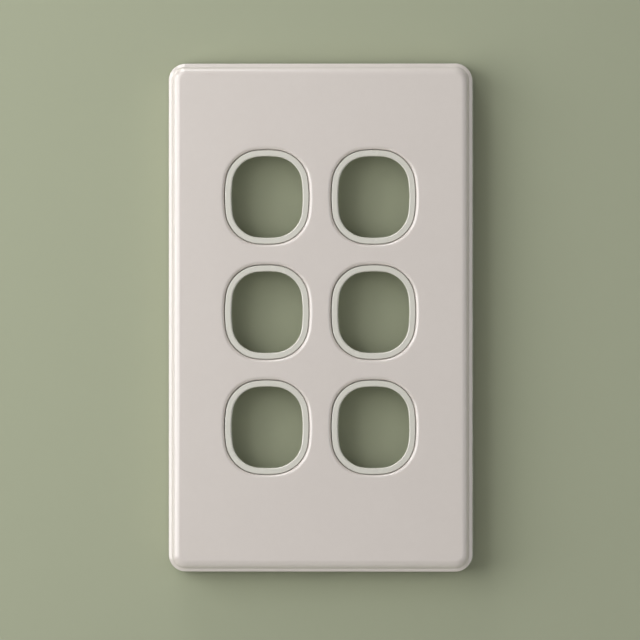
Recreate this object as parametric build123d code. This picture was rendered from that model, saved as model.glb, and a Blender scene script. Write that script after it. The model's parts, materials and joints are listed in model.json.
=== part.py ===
from build123d import *
import os
from math import radians, sqrt, tan

# Six-gang switch plate without its switches. It hangs upright on a wall.
# Four pieces: a moulded grid plate that screws to the wall, a moulded cover that
# clips over it and hides the screws, and the two fixing screws.
#
# +X is right, +Z is up and +Y points into the wall. The wall is the plane Y = 0 and
# the origin lies on it, midway between the two screws. All sizes are in millimetres.
# "Level" below is a distance from the wall, measured out towards the room.

# Outside of the plate
plate_width = 70.0
plate_height = 117.0
plate_depth = 9.0
corner_radius = 4.0
side_draft = 6.0
edge_round = 2.0

# Cover moulding
face_wall = 1.8
side_wall = 1.6
cover_lift = 0.4
opening_edge = 0.7
pry_notch_width = 7.0
pry_notch_height = 1.3

# Switch openings: a grid of barrel-shaped collars, two columns by three rows
column_pitch = 24.5
row_pitch = 26.45
column_count = 2
row_count = 3
openings_rise = 1.25
collar_width = 19.25
collar_height = 21.55
collar_side_radius = 31.3
collar_end_radius = 23.4
collar_corner_radius = 7.9
collar_wall = 1.4
collar_inner_edge = 0.2
collar_outer_edge = 0.1
collar_setback = 0.2
collar_gap = 0.1

# Grid moulding
cover_gap = 0.25
rim_wall = 1.5
panel_level = 4.2
panel_wall = 1.8
panel_chamfer = 0.5
cavity_corner = 2.0
rib_wall = 1.0
rib_setback = 1.0

# Sockets behind the panel, where each switch clips in from the back
socket_width = 20.8
socket_height = 21.0
socket_corner = 1.0
socket_wall = 1.2
socket_setback = 0.6
latch_width = 6.4
latch_slit = 0.8
latch_root = 0.7
latch_barb = 0.7
latch_barb_height = 1.6

# Clip catches between the cover's skirt and the grid's rim
side_catch_spacing = 46.0
end_catch_offset = 20.0
catch_width = 8.0
catch_play = 0.5
catch_level = 1.4
catch_height = 1.6
catch_bite = 0.7
catch_flat = 0.5
catch_root = 0.4

# Stop bars on the grid that the cover's face comes down on
stop_length = 6.0
stop_width = 1.2
stop_side_offset = 28.5
stop_end_offset = 50.0
stop_end_side_offset = 12.25

# Fixing screws and their wells in the grid
fixing_centres = 84.0
screw_diameter = 3.5
screw_shank_diameter = 3.1
screw_length = 30.0
screw_point = 0.6
head_diameter = 7.0
head_height = 2.5
head_slope = 1.3
recess_width = 1.0
recess_length = 3.4
recess_depth = 1.6
slot_width = 4.1
slot_travel = 2.4
well_clearance = 0.2
well_wall = 1.1
seat_level = 3.2
seat_wall = 1.6
thread_start = 0.4

# Places worked out from the sizes above
lean = tan(radians(side_draft))
underside_level = plate_depth - face_wall
panel_front = panel_level + panel_wall
collar_front = plate_depth - collar_setback
rim_inset = side_wall + cover_gap
cavity_inset = rim_inset + rim_wall
opening_places = [
    (
        (column - (column_count - 1) / 2) * column_pitch,
        (row - (row_count - 1) / 2) * row_pitch + openings_rise,
    )
    for row in range(row_count)
    for column in range(column_count)
]
screw_places = [(0, -fixing_centres / 2), (0, fixing_centres / 2)]


def at_level(level, x=0, z=0):
    """The drawing plane parallel to the wall at a level, seen from the room."""
    return Plane(origin=(x, -level, z), x_dir=(1, 0, 0), z_dir=(0, -1, 0))


def raise_from(level, outline, height, x=0, z=0):
    """An outline raised straight out from a level towards the room."""
    return extrude(at_level(level, x, z) * outline, height)


def leaning_block(inset, start, end, corner=None):
    """A block with the plate's drafted sides, so much inside the plate's own outside."""
    base_inset = inset + (start - cover_lift) * lean
    outline = RectangleRounded(
        plate_width - 2 * base_inset,
        plate_height - 2 * base_inset,
        corner or corner_radius - base_inset,
    )
    return extrude(at_level(start) * outline, end - start, taper=side_draft)


def barrel(margin):
    """The collar's outline: four shallow arcs with rounded corners, grown by a margin."""
    side_radius = collar_side_radius + margin
    end_radius = collar_end_radius + margin
    side_centre = side_radius - (collar_width / 2 + margin)
    end_centre = end_radius - (collar_height / 2 + margin)
    outline = (
        Pos(side_centre, 0) * Circle(side_radius)
        & Pos(-side_centre, 0) * Circle(side_radius)
        & Pos(0, end_centre) * Circle(end_radius)
        & Pos(0, -end_centre) * Circle(end_radius)
    )
    return fillet(outline.vertices(), collar_corner_radius + margin)


def catch_places():
    """Each clip catch as its distance from the wall's centre lines and its turn about Y."""
    sides = [
        (along, turn)
        for along in (-side_catch_spacing, 0, side_catch_spacing)
        for turn in (90, -90)
    ]
    ends = [
        (along, turn)
        for along in (-end_catch_offset, end_catch_offset)
        for turn in (0, 180)
    ]
    return sides + ends


def on_wall_side(shape, along, turn):
    """Moves a catch made at the top edge to its own edge of the plate."""
    half = plate_height / 2 if turn in (0, 180) else plate_width / 2
    return Rot(0, turn, 0) * Pos(along, 0, half) * shape


def catch_barb():
    """A barb on the skirt: sloped towards the wall, square towards the room."""
    far = catch_level + catch_height
    root = side_wall + (catch_level - cover_lift) * lean - catch_root
    tip = rim_inset + (far - cover_lift) * lean + catch_bite
    profile = Polyline(
        (0, -catch_level, -root),
        (0, -far, -root),
        (0, -far, -tip),
        (0, -far + catch_flat, -tip),
        close=True,
    )
    return extrude(make_face(profile), catch_width / 2, dir=(1, 0, 0), both=True)


def catch_window():
    """The hole in the rim that a barb clips into. Its room side bears on the barb."""
    near = rim_inset / 2
    far = cavity_inset + rim_wall
    height = catch_height + catch_play
    middle = catch_level + catch_height - height / 2
    return Pos(0, -middle, -(near + far) / 2) * Box(
        catch_width + 2 * catch_play, height, far - near
    )


def foremost_edges(shape, inner):
    """The edges round the foremost faces of a shape: those of their holes, or the outer ones."""
    faces = shape.faces().group_by(Axis.Y)[0]
    wires = [wire for face in faces for wire in face.inner_wires()]
    if not inner:
        wires = [face.outer_wire() for face in faces]
    return [edge for wire in wires for edge in wire.edges()]


def cover_plate():
    """The outer shell: drafted skirt, rounded front edge, six openings, clip barbs."""
    shell = leaning_block(0, cover_lift, plate_depth)
    front_edges = shell.faces().sort_by(Axis.Y)[0].edges()
    shell = fillet(front_edges, edge_round)
    shell -= leaning_block(side_wall, 0, underside_level)

    for x, z in opening_places:
        shell -= raise_from(0, barrel(collar_gap), 2 * plate_depth, x, z)
    shell = chamfer(foremost_edges(shell, inner=True), opening_edge)

    barb = catch_barb()
    for along, turn in catch_places():
        shell += on_wall_side(barb, along, turn)

    notch = SlotOverall(pry_notch_width, 2 * pry_notch_height)
    shell -= extrude(
        Plane.XY.offset(-plate_height / 2) * Pos(0, -cover_lift) * notch,
        2 * side_wall,
        both=True,
    )
    return shell


def socket_outline(margin):
    """A socket's outline with its corners cut off, grown by a margin."""
    outline = Rectangle(socket_width + 2 * margin, socket_height + 2 * margin)
    return chamfer(outline.vertices(), socket_corner + margin * (2 - sqrt(2)))


def socket():
    """One switch socket: a frame behind the panel with a sprung latch on each side."""
    depth = panel_level - socket_setback
    walls = socket_outline(socket_wall) - socket_outline(0)
    frame = raise_from(socket_setback, walls, depth)
    slit_depth = depth - latch_root
    slit = Rectangle(socket_width + 4 * socket_wall, latch_slit)
    slit_rise = (latch_width + latch_slit) / 2
    for z in (-slit_rise, slit_rise):
        frame -= raise_from(socket_setback, slit, slit_depth, 0, z)
    for side in (-1, 1):
        wall = side * socket_width / 2
        barb = Polyline(
            (wall, -socket_setback, 0),
            (wall - side * latch_barb, -socket_setback - latch_barb_height / 2, 0),
            (wall - side * latch_barb, -socket_setback - latch_barb_height, 0),
            (wall + side * socket_wall / 2, -socket_setback - latch_barb_height, 0),
            (wall + side * socket_wall / 2, -socket_setback, 0),
            close=True,
        )
        frame += extrude(make_face(barb), latch_width / 2, dir=(0, 0, 1), both=True)
    return frame


def screw_well(x, z):
    """The cup that sinks one screw head below the cover, and what is cut out of it."""
    travel = slot_travel
    inside_width = head_diameter + 2 * well_clearance
    inside = SlotOverall(inside_width + travel, inside_width)
    outside = SlotOverall(
        inside_width + travel + 2 * well_wall, inside_width + 2 * well_wall
    )
    through = SlotOverall(slot_width + travel, slot_width)
    cup = raise_from(0, outside, panel_level, x, z)
    cuts = raise_from(seat_level, inside, plate_depth, x, z)
    cuts += raise_from(0, inside, seat_level - seat_wall, x, z)
    cuts += raise_from(0, through, plate_depth, x, z)
    return cup, cuts


def stiffening_ribs():
    """Ribs on the back of the panel, between the socket rows and out to the rim."""
    depth = panel_level - rib_setback
    across = Rectangle(plate_width - 2 * cavity_inset + rim_wall, rib_wall)
    ribs = Part()
    for row in range(row_count + 1):
        z = (row - row_count / 2) * row_pitch + openings_rise
        ribs += raise_from(rib_setback, across, depth, 0, z)
    end = plate_height / 2 - cavity_inset + rim_wall / 2
    for x in (-column_pitch / 2, 0, column_pitch / 2):
        for side in (-1, 1):
            start = side * row_count * row_pitch / 2 + openings_rise
            length = end - side * start
            upright = Rectangle(rib_wall, length)
            middle = start + side * length / 2
            ribs += raise_from(rib_setback, upright, depth, x, middle)
    return ribs


def stop_bars():
    """Low bars on the front of the panel that hold the cover's face up."""
    height = underside_level - panel_front
    upright = Rectangle(stop_width, stop_length)
    level = Rectangle(stop_length, stop_width)
    bars = Part()
    for side in (-1, 1):
        for row in range(row_count):
            z = (row - (row_count - 1) / 2) * row_pitch + openings_rise
            bars += raise_from(panel_front, upright, height, side * stop_side_offset, z)
        for end in (-1, 1):
            x, z = side * stop_end_side_offset, end * stop_end_offset
            bars += raise_from(panel_front, level, height, x, z)
    return bars


def grid_plate():
    """The mounting grid: rim, panel, collars, sockets, screw wells, ribs, catch holes."""
    grid = leaning_block(rim_inset, 0, panel_front)
    front_edges = grid.faces().sort_by(Axis.Y)[0].edges()
    grid = chamfer(front_edges, panel_chamfer)
    grid -= leaning_block(cavity_inset, 0, panel_level, cavity_corner)

    grid += stiffening_ribs()
    frame = socket()
    wells = [screw_well(x, z) for x, z in screw_places]
    for x, z in opening_places:
        grid -= raise_from(0, socket_outline(0), panel_level, x, z)
    for cup, _ in wells:
        grid += cup
    for x, z in opening_places:
        grid += Pos(x, 0, z) * frame
    for _, cuts in wells:
        grid -= cuts

    collar = raise_from(panel_front, barrel(0), collar_front - panel_front)
    for x, z in opening_places:
        grid += Pos(x, 0, z) * collar
    for x, z in opening_places:
        grid -= raise_from(0, barrel(-collar_wall), 2 * plate_depth, x, z)
    grid = chamfer(foremost_edges(grid, inner=True), collar_inner_edge)
    grid = chamfer(foremost_edges(grid, inner=False), collar_outer_edge)

    grid += stop_bars()
    window = catch_window()
    for along, turn in catch_places():
        grid -= on_wall_side(window, along, turn)
    return grid


def fixing_screw(x, z):
    """One pan-head machine screw with a cross recess and a shank reduced under the head."""
    head = raise_from(seat_level, Circle(head_diameter / 2), head_height, x, z)
    head = chamfer(head.faces().sort_by(Axis.Y)[0].edges(), head_slope)
    cross = Rectangle(recess_length, recess_width) + Rectangle(recess_width, recess_length)
    head -= raise_from(seat_level + head_height - recess_depth, cross, recess_depth, x, z)

    neck = Circle(screw_shank_diameter / 2)
    shank = raise_from(thread_start, neck, seat_level - thread_start, x, z)
    tip_level = seat_level - screw_length
    thread = raise_from(
        tip_level, Circle(screw_diameter / 2), thread_start - tip_level, x, z
    )
    thread = chamfer(thread.faces().sort_by(Axis.Y)[-1].edges(), screw_point)
    return head + shank + thread


pieces = {
    "cover_plate": cover_plate(),
    "grid_plate": grid_plate(),
    "fixing_screw_lower": fixing_screw(*screw_places[0]),
    "fixing_screw_upper": fixing_screw(*screw_places[1]),
}

os.makedirs("parts", exist_ok=True)
for name, piece in pieces.items():
    export_step(piece, f"parts/{name}.step")
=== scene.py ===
"""Looks of a six-gang switch plate: its cover, mounting grid and two fixing screws."""

import json
from math import atan2, cos, pi, radians, sin, tan

import bmesh
import bpy
from mathutils import Matrix, Vector
from mathutils.geometry import intersect_sphere_sphere_2d

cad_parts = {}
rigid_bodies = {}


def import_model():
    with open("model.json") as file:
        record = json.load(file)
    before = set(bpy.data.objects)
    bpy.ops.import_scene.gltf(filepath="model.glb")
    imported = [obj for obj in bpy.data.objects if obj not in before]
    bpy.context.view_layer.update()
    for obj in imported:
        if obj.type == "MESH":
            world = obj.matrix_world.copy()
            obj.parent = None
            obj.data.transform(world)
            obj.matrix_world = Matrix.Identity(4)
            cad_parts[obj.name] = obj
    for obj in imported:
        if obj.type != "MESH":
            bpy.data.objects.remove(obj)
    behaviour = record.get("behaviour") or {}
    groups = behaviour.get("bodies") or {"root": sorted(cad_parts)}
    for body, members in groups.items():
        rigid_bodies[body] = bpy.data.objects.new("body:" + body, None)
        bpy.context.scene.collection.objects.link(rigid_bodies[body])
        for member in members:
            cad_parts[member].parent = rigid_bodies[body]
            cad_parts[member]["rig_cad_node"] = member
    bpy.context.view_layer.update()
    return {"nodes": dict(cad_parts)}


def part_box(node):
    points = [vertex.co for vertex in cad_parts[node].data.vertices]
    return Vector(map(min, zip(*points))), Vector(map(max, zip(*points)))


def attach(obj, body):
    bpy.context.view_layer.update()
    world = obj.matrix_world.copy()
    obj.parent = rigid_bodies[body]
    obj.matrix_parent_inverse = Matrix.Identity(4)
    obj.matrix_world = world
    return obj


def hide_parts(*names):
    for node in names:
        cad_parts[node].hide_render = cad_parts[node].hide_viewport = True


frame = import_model()


# Cover plate
# The shell seen from the room, injection moulded in one piece in warm white plastic with a
# satin gloss. A narrow sloping ledge runs round its raised front with the rounded edge, six
# barrel-shaped openings go over the grid's collars, and it is held by clips moulded inside.
cover_low, cover_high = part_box("cover_plate")
cover_width = cover_high.x - cover_low.x
cover_height = cover_high.z - cover_low.z
cover_depth = cover_high.y - cover_low.y
skirt_corner = 0.004
skirt_height = 0.0069
skirt_draft = radians(1)
ledge_width = 0.00075
ledge_slope = radians(27)
ledge_round = 0.00015
ledge_fillet = 0.00015
front_draft = radians(25)
hollow_draft = radians(6)
skirt_wall = 0.0016
face_wall = 0.0018
front_round = 0.00205
opening_round = 0.0009
opening_pitch = Vector((0.0245, 0, 0.02645))
openings_rise = 0.00125
opening_places = [
    Vector((column * opening_pitch.x, 0, row * opening_pitch.z + openings_rise))
    for row in (-1, 0, 1)
    for column in (-0.5, 0.5)
]


def begin(name, add, scale=(1, 1, 1), **where):
    """Adds a primitive as a piece of its own, in edit mode with all of it selected."""
    bpy.ops.object.select_all(action="DESELECT")
    add(**where)
    piece = bpy.context.object
    piece.name = piece.data.name = name
    piece.scale = scale
    bpy.ops.object.transform_apply(location=True, rotation=True, scale=True)
    bpy.ops.object.mode_set(mode="EDIT")
    bpy.ops.mesh.select_mode(type="VERT")
    bpy.ops.mesh.select_all(action="SELECT")
    return piece


def pick(piece, kind, wanted):
    """Selects those vertices, edges or faces of a piece in edit mode that are wanted."""
    bpy.ops.mesh.select_mode(type=kind)
    bpy.ops.mesh.select_all(action="DESELECT")
    shape = bmesh.from_edit_mesh(piece.data)
    kinds = {"VERT": shape.verts, "EDGE": shape.edges, "FACE": shape.faces}
    for element in kinds[kind]:
        if wanted(element):
            element.select_set(True)
    shape.select_flush_mode()
    bmesh.update_edit_mesh(piece.data)


def at_depth(y, reach=1e-5):
    """Tells whether all of an edge or face lies in the plane at that depth."""
    return lambda element: all(abs(v.co.y - y) < reach for v in element.verts)


def combine(piece, other, operation):
    """Cuts another solid out of a piece, or joins it on, and removes the other solid."""
    bpy.ops.object.select_all(action="DESELECT")
    bpy.context.view_layer.objects.active = piece
    piece.select_set(True)
    change = piece.modifiers.new(operation.lower(), "BOOLEAN")
    change.operation = operation
    change.solver = "EXACT"
    change.object = other
    bpy.ops.object.modifier_apply(modifier=change.name)
    bpy.data.objects.remove(other)


def repeat(piece, turns_and_places):
    """Copies a piece to each place, turned about Y, and joins the copies into one object."""
    copies = []
    for turn, place in turns_and_places:
        bpy.ops.object.select_all(action="DESELECT")
        piece.select_set(True)
        bpy.context.view_layer.objects.active = piece
        bpy.ops.object.duplicate(linked=False)
        copy = bpy.context.object
        copy.data.transform(Matrix.Rotation(turn, 4, "Y") @ Matrix.Translation(place))
        copies.append(copy)
    bpy.data.objects.remove(piece)
    for copy in copies:
        copy.select_set(True)
    bpy.ops.object.join()
    return bpy.context.object


def smooth(piece, sharp_angle):
    """Smooths the shading over the rounds and keeps the flat faces flat."""
    bpy.ops.object.select_all(action="DESELECT")
    bpy.context.view_layer.objects.active = piece
    piece.select_set(True)
    bpy.ops.object.shade_smooth_by_angle(angle=sharp_angle)
    weigh = piece.modifiers.new("weigh_normals", "WEIGHTED_NORMAL")
    weigh.keep_sharp = True
    bpy.ops.object.modifier_apply(modifier=weigh.name)


def barrel_block(name, margin, near, far):
    """A block with a collar's outline: shallow arcs that run into rounder corner arcs."""
    half_width = 0.009625 + margin
    half_height = 0.010775 + margin
    side_radius = 0.0313 + margin
    end_radius = 0.0234 + margin
    corner_radius = 0.0079 + margin
    side_steps = 12
    end_steps = 12
    corner_steps = 14
    side_centre = Vector((half_width - side_radius, 0))
    end_centre = Vector((0, half_height - end_radius))
    corner_centre = max(
        intersect_sphere_sphere_2d(
            side_centre,
            side_radius - corner_radius,
            end_centre,
            end_radius - corner_radius,
        ),
        key=lambda point: point.x + point.y,
    )
    to_corner = corner_centre - side_centre
    side_turn = atan2(to_corner.y, to_corner.x)
    to_corner = corner_centre - end_centre
    corner_turn = atan2(to_corner.y, to_corner.x) - side_turn
    end_turn = pi / 2 - corner_turn - side_turn
    half_side = (side_centre, side_turn, side_steps // 2)
    arcs = [half_side]
    for across, up in ((1, 1), (-1, 1), (-1, -1), (1, -1)):
        middle = Vector((corner_centre.x * across, corner_centre.y * up))
        corner = (middle, corner_turn, corner_steps)
        end = (end_centre * up, 2 * end_turn, end_steps)
        side = (side_centre * across, 2 * side_turn, side_steps)
        arcs += [corner, end if across == up else side]
    arcs[-1] = half_side

    # A plane drawn together to one point is spun along the arcs, and the outline filled.
    block = begin(
        name,
        bpy.ops.mesh.primitive_plane_add,
        size=0.001,
        location=(half_width, near, 0),
    )
    bpy.ops.mesh.merge(type="CENTER")
    for centre, turn, steps in arcs:
        bpy.ops.mesh.spin(
            steps=steps,
            angle=turn,
            center=(centre.x, near, centre.y),
            axis=(0, 1, 0),
        )
    bpy.ops.mesh.select_all(action="SELECT")
    bpy.ops.mesh.remove_doubles(threshold=1e-6)
    bpy.ops.mesh.edge_face_add()
    bpy.ops.mesh.extrude_region_move(TRANSFORM_OT_translate={"value": (0, far - near, 0)})
    bpy.ops.mesh.select_all(action="SELECT")
    bpy.ops.mesh.normals_make_consistent(inside=False)
    bpy.ops.object.mode_set(mode="OBJECT")
    return block


def round_bar(name, radius, near, far, sides=64):
    """A round bar along the Y axis between two depths."""
    return begin(
        name,
        bpy.ops.mesh.primitive_cylinder_add,
        vertices=sides,
        radius=radius,
        depth=far - near,
        location=(0, (near + far) / 2, 0),
        rotation=(pi / 2, 0, 0),
    )


def press_pin_marks(piece, surface, places):
    """Leaves the shallow round prints of ejector pins in a face that looks at the wall."""
    pin_radius = 0.002
    pin_depth = 0.00012
    clear_of_face = 0.0002
    near = surface - pin_depth
    mark = round_bar("pin_cutter", pin_radius, near, surface + clear_of_face, sides=40)
    bpy.ops.object.mode_set(mode="OBJECT")
    spots = [(0, Vector((x, 0, z))) for x, z in places]
    combine(piece, repeat(mark, spots), "DIFFERENCE")


cover = begin(
    "cover_shell",
    bpy.ops.mesh.primitive_plane_add,
    size=1,
    location=(0, cover_high.y, 0),
    rotation=(pi / 2, 0, 0),
    scale=(cover_width, cover_height, 1),
)
bpy.ops.mesh.bevel(offset=skirt_corner, segments=16, profile=0.5, affect="VERTICES")
pick(cover, "FACE", lambda face: True)
ledge_rise = ledge_width * tan(ledge_slope)
front_rise = cover_depth - skirt_height - ledge_rise
bpy.ops.mesh.inset(thickness=skirt_height * tan(skirt_draft), depth=skirt_height)
bpy.ops.mesh.inset(thickness=ledge_width, depth=ledge_rise)
bpy.ops.mesh.inset(thickness=front_rise * tan(front_draft), depth=front_rise)
pick(cover, "EDGE", at_depth(cover_high.y - skirt_height))
bpy.ops.mesh.bevel(offset=ledge_round, segments=3, profile=0.5, affect="EDGES")
pick(cover, "EDGE", at_depth(cover_high.y - skirt_height - ledge_rise))
bpy.ops.mesh.bevel(offset=ledge_fillet, segments=6, profile=0.5, affect="EDGES")
pick(cover, "EDGE", at_depth(cover_high.y))
bpy.ops.mesh.edge_face_add()
pick(cover, "EDGE", at_depth(cover_low.y))
round_reach = front_round * tan((pi / 2 - front_draft) / 2)
bpy.ops.mesh.bevel(offset=round_reach, segments=14, profile=0.5, affect="EDGES")

pick(cover, "FACE", at_depth(cover_high.y))
hollow = cover_depth - face_wall
bpy.ops.mesh.inset(thickness=skirt_wall, depth=0)
bpy.ops.mesh.inset(thickness=hollow * tan(hollow_draft), depth=-hollow)
bpy.ops.mesh.select_all(action="SELECT")
bpy.ops.mesh.normals_make_consistent(inside=False)
bpy.ops.object.mode_set(mode="OBJECT")

# The openings leave a hairline round the collars. The cover hangs a hair off the grid's
# centre, by the play in its clips, so the hairline is wider on the left.
opening_gap = 0.0001
cover_play = Vector((-0.00008, 0, 0.00003))
cutter = barrel_block("opening_cutter", opening_gap, near=0.001, far=-0.02)
cuts = [(0, place + cover_play) for place in opening_places]
combine(cover, repeat(cutter, cuts), "DIFFERENCE")
bpy.ops.object.mode_set(mode="EDIT")
pick(
    cover,
    "EDGE",
    lambda edge: at_depth(cover_low.y)(edge)
    and len(edge.link_faces) == 2
    and min(abs(face.normal.y) for face in edge.link_faces) < 0.1,
)
bpy.ops.mesh.bevel(offset=opening_round, segments=6, profile=0.5, affect="EDGES")
bpy.ops.object.mode_set(mode="OBJECT")

# Its ten clip barbs stand on the inside of the skirt, square towards the room and sloped
# towards the wall, and a notch at the foot takes the tip of a screwdriver to prise it off.
barb_width = 0.008
barb_near = -0.0014
barb_far = -0.003
barb_flat = 0.0005
barb_root = 0.0012
barb_tip = 0.0028
side_barbs = 0.046
end_barbs = 0.02
barb = begin(
    "barb",
    bpy.ops.mesh.primitive_cube_add,
    size=1,
    location=(0, (barb_near + barb_far) / 2, -(barb_root + barb_tip) / 2),
    scale=(barb_width, barb_near - barb_far, barb_tip - barb_root),
)
pick(
    barb,
    "VERT",
    lambda vertex: vertex.co.y > barb_near - 1e-6 and vertex.co.z < -barb_tip + 1e-6,
)
slope = barb_near - barb_far - barb_flat
bpy.ops.transform.translate(value=(0, -slope, 0))
bpy.ops.object.mode_set(mode="OBJECT")
barb_turns = [
    (side * pi / 2, Vector((along, 0, cover_width / 2)))
    for side in (-1, 1)
    for along in (-side_barbs, 0, side_barbs)
]
barb_turns += [
    (turn, Vector((along, 0, cover_height / 2)))
    for turn in (0, pi)
    for along in (-end_barbs, end_barbs)
]
combine(cover, repeat(barb, barb_turns), "UNION")

notch_width = 0.007
notch_depth = 0.0013
notch_corner = 0.99 * notch_depth
notch = begin(
    "notch_cutter",
    bpy.ops.mesh.primitive_plane_add,
    size=1,
    location=(0, cover_high.y, -cover_height / 2 - skirt_wall),
    scale=(notch_width, 2 * notch_depth, 1),
)
bpy.ops.mesh.bevel(offset=notch_corner, segments=10, profile=0.5, affect="VERTICES")
bpy.ops.mesh.select_all(action="SELECT")
bpy.ops.mesh.extrude_region_move(TRANSFORM_OT_translate={"value": (0, 0, 3 * skirt_wall)})
bpy.ops.mesh.select_all(action="SELECT")
bpy.ops.mesh.normals_make_consistent(inside=False)
bpy.ops.object.mode_set(mode="OBJECT")
combine(cover, notch, "DIFFERENCE")

cover_pins = [(x, z) for x in (-0.0272, 0.0272) for z in (-0.038, -0.012, 0.0145, 0.041)]
cover_pins += [(0, -0.05), (0, 0.05)]
press_pin_marks(cover, cover_low.y + face_wall, cover_pins)
smooth(cover, sharp_angle=radians(35))


def new_group(name, inputs, outputs):
    """A shader node group with number inputs and the outputs named."""
    group = bpy.data.node_groups.new(name, "ShaderNodeTree")
    for label, value in inputs.items():
        socket = group.interface.new_socket(
            name=label, in_out="INPUT", socket_type="NodeSocketFloat"
        )
        socket.default_value = value
    for label in outputs:
        group.interface.new_socket(
            name=label, in_out="OUTPUT", socket_type="NodeSocketFloat"
        )
    return group, group.nodes.new("NodeGroupInput"), group.nodes.new("NodeGroupOutput")


def noise(group, place, size, detail):
    """Noise whose patches are about the given size in metres."""
    node = group.nodes.new("ShaderNodeTexNoise")
    node.inputs["Scale"].default_value = 1 / size
    node.inputs["Detail"].default_value = detail
    group.links.new(place, node.inputs["Vector"])
    return node.outputs["Fac"]


def calculate(group, operation, first, second):
    """One sum on two sockets or numbers."""
    node = group.nodes.new("ShaderNodeMath")
    node.operation = operation
    for socket, value in zip(node.inputs, (first, second)):
        if isinstance(value, (int, float)):
            socket.default_value = value
        else:
            group.links.new(value, socket)
    return node.outputs["Value"]


# The skin of a satin moulding: a fine spark-eroded grain from the tool, a slow waviness
# where the walls shrank, and patches a little glossier and a little paler than others.
grain_size = 0.00022
wave_size = 0.011
wave_share = 4
gloss_patch = 0.006
tone_patch = 0.0016
moulded_skin, inlet, outlet = new_group(
    "moulded_skin", {"Grain": 1, "Waviness": 1}, ["Height", "Gloss", "Tone"]
)
place = moulded_skin.nodes.new("ShaderNodeTexCoord").outputs["Object"]
grain = noise(moulded_skin, place, grain_size, detail=2)
wave = noise(moulded_skin, place, wave_size, detail=0)
grain = calculate(moulded_skin, "MULTIPLY", grain, inlet.outputs["Grain"])
wave = calculate(moulded_skin, "MULTIPLY", wave, inlet.outputs["Waviness"])
wave = calculate(moulded_skin, "MULTIPLY", wave, wave_share)
height = calculate(moulded_skin, "ADD", grain, wave)
gloss = noise(moulded_skin, place, gloss_patch, detail=4)
tone = noise(moulded_skin, place, tone_patch, detail=3)
moulded_skin.links.new(height, outlet.inputs["Height"])
moulded_skin.links.new(gloss, outlet.inputs["Gloss"])
moulded_skin.links.new(tone, outlet.inputs["Tone"])


def ramp(tree, factor, low, high):
    """A value that runs between two limits over the middle of a noise."""
    node = tree.nodes.new("ShaderNodeMapRange")
    node.interpolation_type = "SMOOTHERSTEP"
    node.inputs["From Min"].default_value = 0.3
    node.inputs["From Max"].default_value = 0.7
    node.inputs["To Min"].default_value = low
    node.inputs["To Max"].default_value = high
    tree.links.new(factor, node.inputs["Value"])
    return node.outputs["Result"]


def blend_colours(tree, factor, first, second):
    """A colour between two by a mask."""
    node = tree.nodes.new("ShaderNodeMix")
    node.data_type = "RGBA"
    node.inputs["A"].default_value = (*first, 1)
    node.inputs["B"].default_value = (*second, 1)
    tree.links.new(factor, node.inputs["Factor"])
    return node.outputs["Result"]


def moulded_plastic(name, darker, paler, smoothest, roughest):
    """A satin moulded plastic in one colour, with its grain and its uneven gloss."""
    material = bpy.data.materials.new(name)
    material.use_nodes = True
    tree = material.node_tree
    surface = tree.nodes["Principled BSDF"]
    surface.inputs["IOR"].default_value = 1.55
    surface.inputs["Coat Weight"].default_value = 1
    surface.inputs["Coat Roughness"].default_value = 0.08
    skin = tree.nodes.new("ShaderNodeGroup")
    skin.node_tree = moulded_skin
    tone = ramp(tree, skin.outputs["Tone"], 0, 1)
    colour = blend_colours(tree, tone, darker, paler)
    tree.links.new(colour, surface.inputs["Base Color"])
    gloss = ramp(tree, skin.outputs["Gloss"], smoothest, roughest)
    tree.links.new(gloss, surface.inputs["Roughness"])
    relief = tree.nodes.new("ShaderNodeBump")
    relief.inputs["Strength"].default_value = 0.06
    relief.inputs["Distance"].default_value = 0.00001
    tree.links.new(skin.outputs["Height"], relief.inputs["Height"])
    tree.links.new(relief.outputs["Normal"], surface.inputs["Normal"])
    return material


cover_white = moulded_plastic(
    "cover_white",
    darker=(0.792, 0.727, 0.682),
    paler=(0.798, 0.733, 0.688),
    smoothest=0.18,
    roughest=0.26,
)
cover.data.materials.clear()
cover.data.materials.append(cover_white)
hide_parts("cover_plate")
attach(cover, "root")


# Grid plate
# The mounting grid behind the cover, moulded in one piece in a slightly greener white. Its
# six collars stand up into the cover's openings, switches clip into the sockets behind
# them, and its rim bears on the wall. Every edge has the small radius of its tool.
tool_radius = 0.00012
rim_radius = 0.00005
collar_rims = -0.0085
flat_within = radians(0.6)
edge_from = radians(32)
bpy.ops.object.select_all(action="DESELECT")
packed_grid = frame["nodes"]["grid_plate"]
packed_grid.select_set(True)
bpy.context.view_layer.objects.active = packed_grid
bpy.ops.object.duplicate(linked=False)
grid = bpy.context.object
grid.name = grid.data.name = "grid_moulding"
grid.parent = None
del grid["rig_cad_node"]
bpy.ops.object.mode_set(mode="EDIT")
bpy.ops.mesh.select_all(action="SELECT")
bpy.ops.mesh.remove_doubles(threshold=2e-6)
bpy.ops.mesh.dissolve_limited(angle_limit=flat_within)
for at_rims, radius in ((False, tool_radius), (True, rim_radius)):
    pick(
        grid,
        "EDGE",
        lambda edge: len(edge.link_faces) == 2
        and edge.calc_face_angle() > edge_from
        and (max(vertex.co.y for vertex in edge.verts) < collar_rims) == at_rims,
    )
    bpy.ops.mesh.bevel(offset=radius, segments=2, affect="EDGES", clamp_overlap=True)
bpy.ops.object.mode_set(mode="OBJECT")

panel_back = -0.0042
grid_pins = [(x, place.z) for x in (-0.0275, 0.0275) for place in opening_places[::2]]
grid_pins += [(x, z) for x in (-0.022, 0.022) for z in (-0.049, 0.049)]
press_pin_marks(grid, panel_back, grid_pins)
smooth(grid, sharp_angle=radians(40))

grid_white = moulded_plastic(
    "grid_white",
    darker=(0.765, 0.745, 0.67),
    paler=(0.775, 0.755, 0.68),
    smoothest=0.20,
    roughest=0.28,
)
grid.data.materials.clear()
grid.data.materials.append(grid_white)
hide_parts("grid_plate")
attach(grid, "root")


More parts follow.
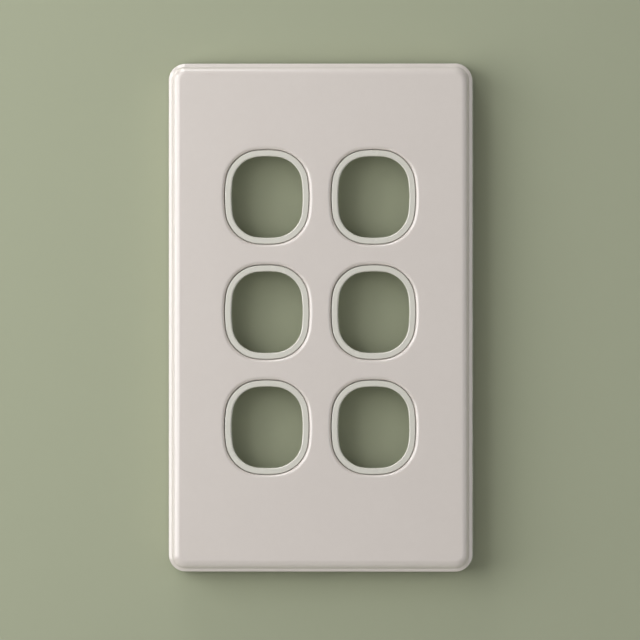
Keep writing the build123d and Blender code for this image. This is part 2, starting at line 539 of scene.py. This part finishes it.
# Fixing screws
# Two M3.5 machine screws of zinc-plated steel with pan heads and cross recesses. They pass
# the grid's slots on a neck thinner than the thread, and pull its wells against the box.
# One is modelled on the Y axis, then copied to each well, turned as it was driven home.
screw_low, screw_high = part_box("fixing_screw_upper")
head_radius = (screw_high.x - screw_low.x) / 2
head_front = screw_low.y
head_back = -0.0032
head_dome = 0.0013
head_rim = 0.00015
neck_radius = 0.00155
thread_start = -0.0004
thread_tip = screw_high.y
thread_radius = 0.00175
thread_pitch = 0.0006
thread_depth = 0.5413 * thread_pitch
tip_chamfer = 0.0006
recess_length = 0.0034
recess_width = 0.001
recess_depth = 0.0016
recess_taper = (0.45, 1, 0.6)

screw = round_bar("screw", head_radius, head_front, head_back)
pick(screw, "EDGE", at_depth(head_front))
bpy.ops.mesh.bevel(offset=head_dome, segments=10, profile=0.5, affect="EDGES")
pick(screw, "EDGE", at_depth(head_back))
bpy.ops.mesh.bevel(offset=head_rim, segments=2, profile=0.5, affect="EDGES")
bpy.ops.object.mode_set(mode="OBJECT")

for turn in (0, pi / 2):
    blade = begin(
        "recess_cutter",
        bpy.ops.mesh.primitive_cube_add,
        size=1,
        location=(0, head_front, 0),
        scale=(recess_length, 2 * recess_depth, recess_width),
    )
    pick(blade, "VERT", lambda vertex: vertex.co.y > head_front)
    bpy.ops.transform.resize(
        value=recess_taper, center_override=(0, head_front + recess_depth, 0)
    )
    bpy.ops.object.mode_set(mode="OBJECT")
    blade.data.transform(Matrix.Rotation(turn, 4, "Y"))
    combine(screw, blade, "DIFFERENCE")

neck = round_bar("neck", neck_radius, head_back - head_rim, thread_start, sides=48)
bpy.ops.object.mode_set(mode="OBJECT")
combine(screw, neck, "UNION")

# One turn of the thread's profile, drawn out of a single point, is wound up the shank. It
# is then cut square at both ends and trimmed by a chamfered blank.
thread_root = thread_radius - thread_depth
thread = begin(
    "thread",
    bpy.ops.mesh.primitive_plane_add,
    size=0.0001,
    location=(thread_root, thread_start - 2 * thread_pitch, 0),
)
bpy.ops.mesh.merge(type="CENTER")
flank = thread_pitch * 5 / 16
for across, along in (
    (0, thread_pitch / 4),
    (thread_depth, flank),
    (0, thread_pitch / 8),
    (-thread_depth, flank),
):
    bpy.ops.mesh.extrude_vertices_move(
        TRANSFORM_OT_translate={"value": (across, along, 0)}
    )
bpy.ops.object.mode_set(mode="OBJECT")
helix = thread.modifiers.new("helix", "SCREW")
helix.axis = "Y"
helix.angle = 2 * pi
helix.screw_offset = thread_pitch
helix.iterations = round((thread_tip - thread_start) / thread_pitch) + 4
helix.steps = helix.render_steps = 32
bpy.ops.object.modifier_apply(modifier=helix.name)
bpy.ops.object.mode_set(mode="EDIT")
bpy.ops.mesh.select_all(action="SELECT")
bpy.ops.mesh.remove_doubles(threshold=2e-6)
for cut, outwards in ((thread_start, -1), (thread_tip, 1)):
    bpy.ops.mesh.select_all(action="SELECT")
    bpy.ops.mesh.bisect(
        plane_co=(0, cut, 0),
        plane_no=(0, outwards, 0),
        use_fill=True,
        clear_outer=True,
        threshold=1e-7,
    )
bpy.ops.mesh.select_all(action="SELECT")
bpy.ops.mesh.normals_make_consistent(inside=False)
bpy.ops.object.mode_set(mode="OBJECT")

spare = 0.00001
blank = round_bar("blank", thread_radius + spare, thread_start - spare, thread_tip + spare)
pick(blank, "EDGE", at_depth(thread_tip + spare))
bpy.ops.mesh.bevel(offset=tip_chamfer, segments=1, affect="EDGES")
pick(blank, "EDGE", at_depth(thread_start - spare))
bpy.ops.mesh.bevel(offset=thread_depth, segments=1, affect="EDGES")
bpy.ops.object.mode_set(mode="OBJECT")
combine(thread, blank, "INTERSECT")
combine(screw, thread, "UNION")
smooth(screw, sharp_angle=radians(40))

# Zinc with a clear passivation that runs from bluish to straw-coloured in small patches.
bluish = (0.63, 0.66, 0.70)
straw = (0.74, 0.72, 0.66)
tint_patch = 0.0012
smoothest_zinc = 0.24
roughest_zinc = 0.42
haze_patch = 0.0006
pit_size = 0.0001
bright_zinc = bpy.data.materials.new("bright_zinc")
bright_zinc.use_nodes = True
tree = bright_zinc.node_tree
surface = tree.nodes["Principled BSDF"]
surface.inputs["Metallic"].default_value = 1
place = tree.nodes.new("ShaderNodeTexCoord").outputs["Object"]
passivation = ramp(tree, noise(tree, place, tint_patch, detail=3), 0, 1)
plating = blend_colours(tree, passivation, bluish, straw)
tree.links.new(plating, surface.inputs["Base Color"])
haze = noise(tree, place, haze_patch, detail=3)
haze = ramp(tree, haze, smoothest_zinc, roughest_zinc)
tree.links.new(haze, surface.inputs["Roughness"])
relief = tree.nodes.new("ShaderNodeBump")
relief.inputs["Strength"].default_value = 0.2
relief.inputs["Distance"].default_value = 0.00001
tree.links.new(noise(tree, place, pit_size, detail=2), relief.inputs["Height"])
tree.links.new(relief.outputs["Normal"], surface.inputs["Normal"])
screw.data.materials.clear()
screw.data.materials.append(bright_zinc)

for well, turn in (("upper", radians(25)), ("lower", radians(70))):
    low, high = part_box("fixing_screw_" + well)
    bpy.ops.object.select_all(action="DESELECT")
    screw.select_set(True)
    bpy.context.view_layer.objects.active = screw
    bpy.ops.object.duplicate(linked=False)
    fixed = bpy.context.object
    fixed.name = fixed.data.name = "threaded_screw_" + well
    middle = Vector((0, 0, (low.z + high.z) / 2))
    fixed.data.transform(Matrix.Translation(middle) @ Matrix.Rotation(turn, 4, "Y"))
    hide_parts("fixing_screw_" + well)
    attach(fixed, "root")
bpy.data.objects.remove(screw)


# Wall and floor
# A sage green wall that carries the plate, and a plain pale floor. The wall is clear from
# behind, and lets direct light by, so that the lamps behind it light the plate's back.
def plain_paint(name, colour, roughness):
    """A matt emulsion paint with the faint stipple of a roller."""
    material = bpy.data.materials.new(name)
    material.use_nodes = True
    tree = material.node_tree
    surface = tree.nodes["Principled BSDF"]
    surface.inputs["Base Color"].default_value = (*colour, 1)
    surface.inputs["Roughness"].default_value = roughness
    place = tree.nodes.new("ShaderNodeTexCoord").outputs["Object"]
    relief = tree.nodes.new("ShaderNodeBump")
    relief.inputs["Strength"].default_value = 0.08
    relief.inputs["Distance"].default_value = 0.0002
    stipple = 0.0025
    tree.links.new(noise(tree, place, stipple, detail=3), relief.inputs["Height"])
    tree.links.new(relief.outputs["Normal"], surface.inputs["Normal"])
    return material


wall_size = 12
behind_plate = 0.0002
floor_level = -0.5
wall = begin(
    "wall",
    bpy.ops.mesh.primitive_plane_add,
    size=wall_size,
    location=(0, behind_plate, floor_level + wall_size / 2),
    rotation=(pi / 2, 0, 0),
)
bpy.ops.object.mode_set(mode="OBJECT")
sage = (0.404, 0.432, 0.303)
wall_paint = plain_paint("wall_paint", sage, roughness=0.75)
tree = wall_paint.node_tree
clear = tree.nodes.new("ShaderNodeBsdfTransparent")
side = tree.nodes.new("ShaderNodeNewGeometry")
ray = tree.nodes.new("ShaderNodeLightPath")
# A shadow ray from what the camera sees has a ray depth of one, and later ones have more.
first_rays_end = 1.5
first = calculate(tree, "LESS_THAN", ray.outputs["Ray Depth"], first_rays_end)
lets_light_by = calculate(tree, "MULTIPLY", first, ray.outputs["Is Shadow Ray"])
unseen = calculate(tree, "MAXIMUM", side.outputs["Backfacing"], lets_light_by)
either = tree.nodes.new("ShaderNodeMixShader")
tree.links.new(unseen, either.inputs["Fac"])
tree.links.new(tree.nodes["Principled BSDF"].outputs["BSDF"], either.inputs[1])
tree.links.new(clear.outputs["BSDF"], either.inputs[2])
tree.links.new(either.outputs["Shader"], tree.nodes["Material Output"].inputs["Surface"])
wall.data.materials.append(wall_paint)

# The camera sees the floor evenly pale, while its light on the plate is that of the paint.
pale = (0.72, 0.71, 0.68)
pale_glow = 0.7
floor = begin(
    "floor",
    bpy.ops.mesh.primitive_plane_add,
    size=wall_size,
    location=(0, 0, floor_level),
)
bpy.ops.object.mode_set(mode="OBJECT")
floor_paint = plain_paint("floor_paint", pale, roughness=0.6)
tree = floor_paint.node_tree
glow = tree.nodes.new("ShaderNodeEmission")
glow.inputs["Color"].default_value = (*pale, 1)
glow.inputs["Strength"].default_value = pale_glow
ray = tree.nodes.new("ShaderNodeLightPath")
either = tree.nodes.new("ShaderNodeMixShader")
tree.links.new(ray.outputs["Is Camera Ray"], either.inputs["Fac"])
tree.links.new(tree.nodes["Principled BSDF"].outputs["BSDF"], either.inputs[1])
tree.links.new(glow.outputs["Emission"], either.inputs[2])
tree.links.new(either.outputs["Shader"], tree.nodes["Material Output"].inputs["Surface"])
floor.data.materials.append(floor_paint)


# Light
# Soft panels on the left, from near the front round to the side, with one above them and
# two weak ones on the right. Two more behind the wall light the back, in a dim room.
def soft_panel(name, left, up, away, width, height, watts):
    """A soft light that the camera doesn't see, at so many degrees left and up of the plate."""
    direction = Vector(
        (
            -sin(radians(left)) * cos(radians(up)),
            -cos(radians(left)) * cos(radians(up)),
            sin(radians(up)),
        )
    )
    bpy.ops.object.light_add(type="AREA", location=direction * away)
    lamp = bpy.context.object
    lamp.name = name
    lamp.rotation_euler = (-direction).to_track_quat("-Z", "Y").to_euler()
    lamp.data.shape = "RECTANGLE"
    lamp.data.size = width
    lamp.data.size_y = height
    lamp.data.energy = watts
    lamp.visible_camera = False


soft_panel("near_panel", left=20, up=6, away=0.6, width=0.26, height=0.22, watts=0.27)
soft_panel("key_panel", left=33, up=12, away=0.6, width=0.26, height=0.6, watts=0.9)
soft_panel("side_panel", left=61, up=8, away=0.6, width=0.35, height=0.6, watts=2.1)
soft_panel("top_panel", left=46, up=65, away=0.6, width=0.3, height=0.3, watts=1)
soft_panel("right_panel", left=-60, up=-8, away=0.6, width=0.35, height=0.5, watts=0.35)
soft_panel("front_panel", left=-28, up=-4, away=0.6, width=0.3, height=0.4, watts=0.32)
soft_panel("rear_key_panel", left=140, up=30, away=1.2, width=0.5, height=0.5, watts=10)
soft_panel("rear_fill_panel", left=-150, up=-5, away=1.2, width=0.5, height=0.5, watts=5)

world = bpy.data.worlds.new("room")
bpy.context.scene.world = world
world.use_nodes = True
tree = world.node_tree
tree.nodes["Background"].inputs["Color"].default_value = (0.97, 0.98, 1, 1)
room_light = 0.1
seen_light = 0.5
ray = tree.nodes.new("ShaderNodeLightPath")
seen = calculate(tree, "MULTIPLY", ray.outputs["Is Camera Ray"], seen_light - room_light)
strength = calculate(tree, "ADD", seen, room_light)
tree.links.new(strength, tree.nodes["Background"].inputs["Strength"])
bpy.context.scene.view_settings.view_transform = "Standard"


# Camera
# It looks square on from far off, from a little to the right of the plate's middle.
lens = 600
sensor = 36
frame_height = 0.1475
yaw = radians(1.7)
aim = Vector((-0.0003, cover_high.y, -0.00055))
distance = frame_height * lens / sensor
bpy.ops.object.camera_add(
    location=aim + distance * Vector((sin(yaw), -cos(yaw), 0)),
    rotation=(pi / 2, 0, yaw),
)
camera = bpy.context.object
camera.name = "camera"
camera.data.lens = lens
camera.data.sensor_width = sensor
camera.data.clip_start = 0.05
camera.data.clip_end = 50
bpy.context.scene.camera = camera
